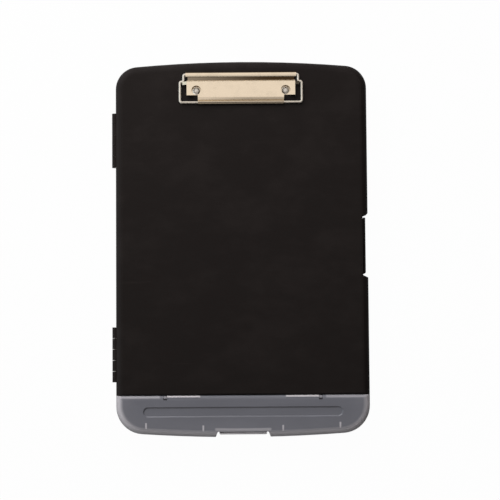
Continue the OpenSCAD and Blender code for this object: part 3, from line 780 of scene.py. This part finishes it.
class CLIPBOARD_OT_marks(bpy.types.Operator):
    """Add the round marks that moulding leaves inside the case and on the lid"""

    bl_idname = "clipboard.marks"
    bl_label = "Moulding marks"

    def execute(self, context):
        settings = context.scene.clipboard_marks
        radius = settings.ejector_radius
        rise = settings.height
        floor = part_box("front_cover")[1][2] - COVER_DEPTH
        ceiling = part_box("front_cover")[1][2] - COVER_SHEET
        lid_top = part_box("pen_lid")[1][2]
        tray_marks = round_marks("tray_marks", self.grid(settings, floor), radius, rise)
        cover_marks = round_marks("cover_marks", self.grid(settings, ceiling), radius, -rise)
        lid_mark = round_marks(
            "lid_mark", [Vector((*LID_GATE, lid_top))], settings.gate_radius, rise / 2
        )
        self.add(tray_marks, "tray", "black_plastic", "Tray plastic")
        self.add(cover_marks, "cover", "cover_plastic", "Cover plastic")
        self.add(lid_mark, "pen_lid_body", "smoke_plastic", "Lid plastic")
        return {"FINISHED"}

    def grid(self, settings, height):
        """Places in rows and columns, at one height."""
        return [
            Vector((column * settings.pitch_x, row * settings.pitch_y, height))
            for column in MARK_COLUMNS for row in MARK_ROWS
        ]

    def add(self, piece, body, slot, material):
        piece.data.materials.append(bpy.data.materials[material])
        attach(piece, body)


class CLIPBOARD_OT_studio(bpy.types.Operator):
    """Set up the floor, the room's light, the key softbox and the camera"""

    bl_idname = "clipboard.studio"
    bl_label = "Studio"

    def execute(self, context):
        settings = context.scene.clipboard_studio
        self.floor(settings)
        self.world(context.scene, settings)
        self.key_softbox(context.scene, settings)
        self.camera(context.scene, settings)
        context.scene.view_settings.view_transform = "Standard"
        return {"FINISHED"}

    def floor(self, settings):
        """A sheet of paper, white to the camera but for the object's shadow, grey otherwise."""
        bpy.ops.object.select_all(action="DESELECT")
        bpy.ops.mesh.primitive_plane_add(size=FLOOR_SIZE)
        floor = bpy.context.active_object
        floor.name = "studio_floor"
        material = bpy.data.materials.new("Studio floor")
        g = clear_graph(material)
        paper = g.ramp(g.noise(g.place(), scale=3.0), start=0.3, end=0.7)
        shade = g.blend(paper, rgba(settings.floor_colour), rgba(PAPER_COLOUR))
        diffuse = g.node("ShaderNodeBsdfDiffuse", Color=shade)
        white = g.node("ShaderNodeEmission", Color=WHITE, Strength=1.0)
        path = g.node("ShaderNodeLightPath")
        seen = g.maths("MULTIPLY", path.outputs["Is Camera Ray"], PAPER_WHITE)
        g.node("ShaderNodeOutputMaterial", Surface=g.mix_shaders(seen, diffuse, white))
        floor.data.materials.append(material)

    def world(self, scene, settings):
        """A dim room with pale walls and a glow over the clip, white only to the camera."""
        world = bpy.data.worlds.new("Studio")
        g = clear_graph(world)
        direction = g.node("ShaderNodeTexCoord").outputs["Generated"]
        side = g.node("ShaderNodeSeparateXYZ", Vector=direction).outputs["X"]
        up = g.dot(direction, ROOM_UP)
        walls = g.ramp(up, *WALL_FADE, settings.room_light, settings.wall_light)
        slant = g.ramp(side, *SLANT_ACROSS, 1 + settings.slant, 1 - settings.slant)
        walls = g.maths("MULTIPLY", walls, slant)
        glow = g.ramp(g.dot(direction, GLOW_SIDE), *GLOW_FADE, 0.0, settings.glow)
        path = g.node("ShaderNodeLightPath").outputs
        fill = g.ramp(path["Is Diffuse Ray"], 0.0, 1.0, 1.0, settings.fill)
        brightness = g.maths("MULTIPLY", g.maths("MAXIMUM", walls, glow), fill)
        tone = g.blend(g.ramp(side, *COOL_FADE), rgba(WARM_TONE), rgba(COOL_TONE))
        room = g.node("ShaderNodeBackground", Color=tone, Strength=brightness)
        white = g.node("ShaderNodeBackground", Color=WHITE, Strength=1.0)
        seen = g.mix_shaders(path["Is Camera Ray"], room, white)
        g.node("ShaderNodeOutputWorld", Surface=seen)
        scene.world = world

    def key_softbox(self, scene, settings):
        light = bpy.data.lights.new("key_softbox", "AREA")
        light.shape = "SQUARE"
        light.size = KEY_SIZE
        light.energy = settings.key_power
        lamp = bpy.data.objects.new("key_softbox", light)
        lamp.visible_glossy = False
        scene.collection.objects.link(lamp)
        lamp.location = KEY_PLACE
        lamp.rotation_mode = "QUATERNION"
        lamp.rotation_quaternion = (-KEY_PLACE).to_track_quat("-Z", "Y")

    def camera(self, scene, settings):
        data = bpy.data.cameras.new("studio_camera")
        data.sensor_width = SENSOR_WIDTH
        data.lens = settings.lens
        data.shift_x, data.shift_y = CAMERA_SHIFT
        camera = bpy.data.objects.new("studio_camera", data)
        scene.collection.objects.link(camera)
        back = Vector((0, -math.sin(settings.tilt), math.cos(settings.tilt)))
        camera.location = CAMERA_TARGET + settings.distance * back
        camera.rotation_mode = "QUATERNION"
        roll = Quaternion((0, 0, 1), settings.roll)
        camera.rotation_quaternion = (-back).to_track_quat("-Z", "Y") @ roll
        scene.camera = camera


class CLIPBOARD_PT_panel(bpy.types.Panel):
    """Lists the settings and the steps"""

    bl_idname = "CLIPBOARD_PT_panel"
    bl_label = "Storage Clipboard Box"
    bl_space_type = "VIEW_3D"
    bl_region_type = "UI"
    bl_category = "Clipboard"

    def draw(self, context):
        for group in SETTINGS:
            settings = getattr(context.scene, group)
            box = self.layout.box()
            for name in settings.bl_rna.properties.keys():
                if name not in ("rna_type", "name"):
                    box.prop(settings, name)
        for operator in STEPS:
            self.layout.operator(operator.bl_idname)


SETTINGS = {
    "clipboard_plastic": PlasticSettings,
    "clipboard_smoke": SmokeSettings,
    "clipboard_metal": MetalSettings,
    "clipboard_marks": MarkSettings,
    "clipboard_studio": StudioSettings,
}

STEPS = (
    CLIPBOARD_OT_case,
    CLIPBOARD_OT_pen_box,
    CLIPBOARD_OT_clip,
    CLIPBOARD_OT_pins,
    CLIPBOARD_OT_marks,
    CLIPBOARD_OT_studio,
)


def register():
    for name, group in SETTINGS.items():
        bpy.utils.register_class(group)
        setattr(bpy.types.Scene, name, bpy.props.PointerProperty(type=group))
    for operator in STEPS:
        bpy.utils.register_class(operator)
    bpy.utils.register_class(CLIPBOARD_PT_panel)


def unregister():
    bpy.utils.unregister_class(CLIPBOARD_PT_panel)
    for operator in reversed(STEPS):
        bpy.utils.unregister_class(operator)
    for name, group in SETTINGS.items():
        delattr(bpy.types.Scene, name)
        bpy.utils.unregister_class(group)


def main():
    register()
    bpy.ops.clipboard.case()
    bpy.ops.clipboard.pen_box()
    bpy.ops.clipboard.clip()
    bpy.ops.clipboard.pins()
    bpy.ops.clipboard.marks()
    bpy.ops.clipboard.studio()


if __name__ == "__main__":
    main()
